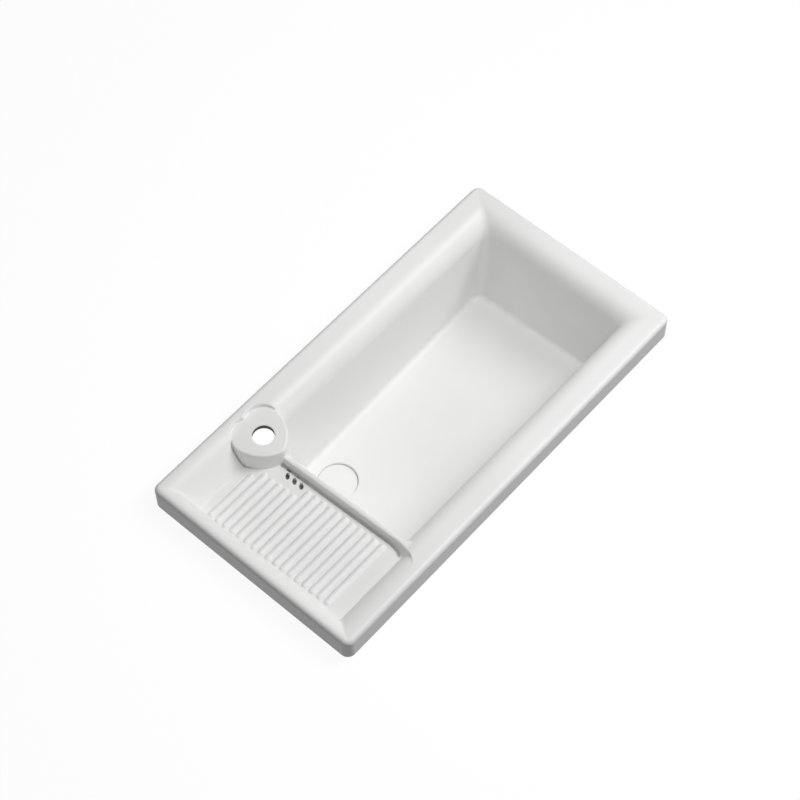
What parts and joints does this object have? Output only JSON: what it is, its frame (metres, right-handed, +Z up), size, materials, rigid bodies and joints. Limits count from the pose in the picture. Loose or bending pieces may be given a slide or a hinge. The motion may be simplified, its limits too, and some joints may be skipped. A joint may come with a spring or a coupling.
{
  "type": "countertop basin",
  "caption": "Rectangular countertop laundry basin with a deep sloped bowl, a ribbed washboard tray behind a low divider, a heart-shaped tap deck and a pop-up waste.",
  "frame": {"origin": "centre of the apron's underside, the face that rests on the counter", "axes": "+X along the basin from the washboard to the far end of the bowl, +Y to the back edge where the tap stands, +Z up"},
  "size_m": [0.76, 0.4, 0.279],
  "materials": {
    "glaze": "gloss",
    "cap_glaze": "gloss",
    "brass": "polished",
    "stem_brass": "satin",
    "rubber": "matte",
    "acetal": "matte",
    "spring_steel": "satin"
  },
  "bodies": {
    "basin": {"basin_body": "glaze", "flange_gasket": "rubber", "waste_body": "brass", "strainer_basket": "acetal", "basket_o_ring": "rubber", "click_sleeve": "acetal", "click_spring": "spring_steel", "cone_gasket": "rubber", "slip_washer": "acetal", "back_nut": "brass"},
    "cap": {"waste_cap": "cap_glaze", "cap_holder": "stem_brass", "cap_seal": "rubber", "cap_stem": "stem_brass", "click_cam": "acetal"}
  },
  "joints": [
    {"name": "cap_slide", "type": "slide", "parent": "basin", "child": "cap", "axis": [0, 0, 1], "range_m": [0, 0.01], "deforming": ["click_spring"]}
  ]
}
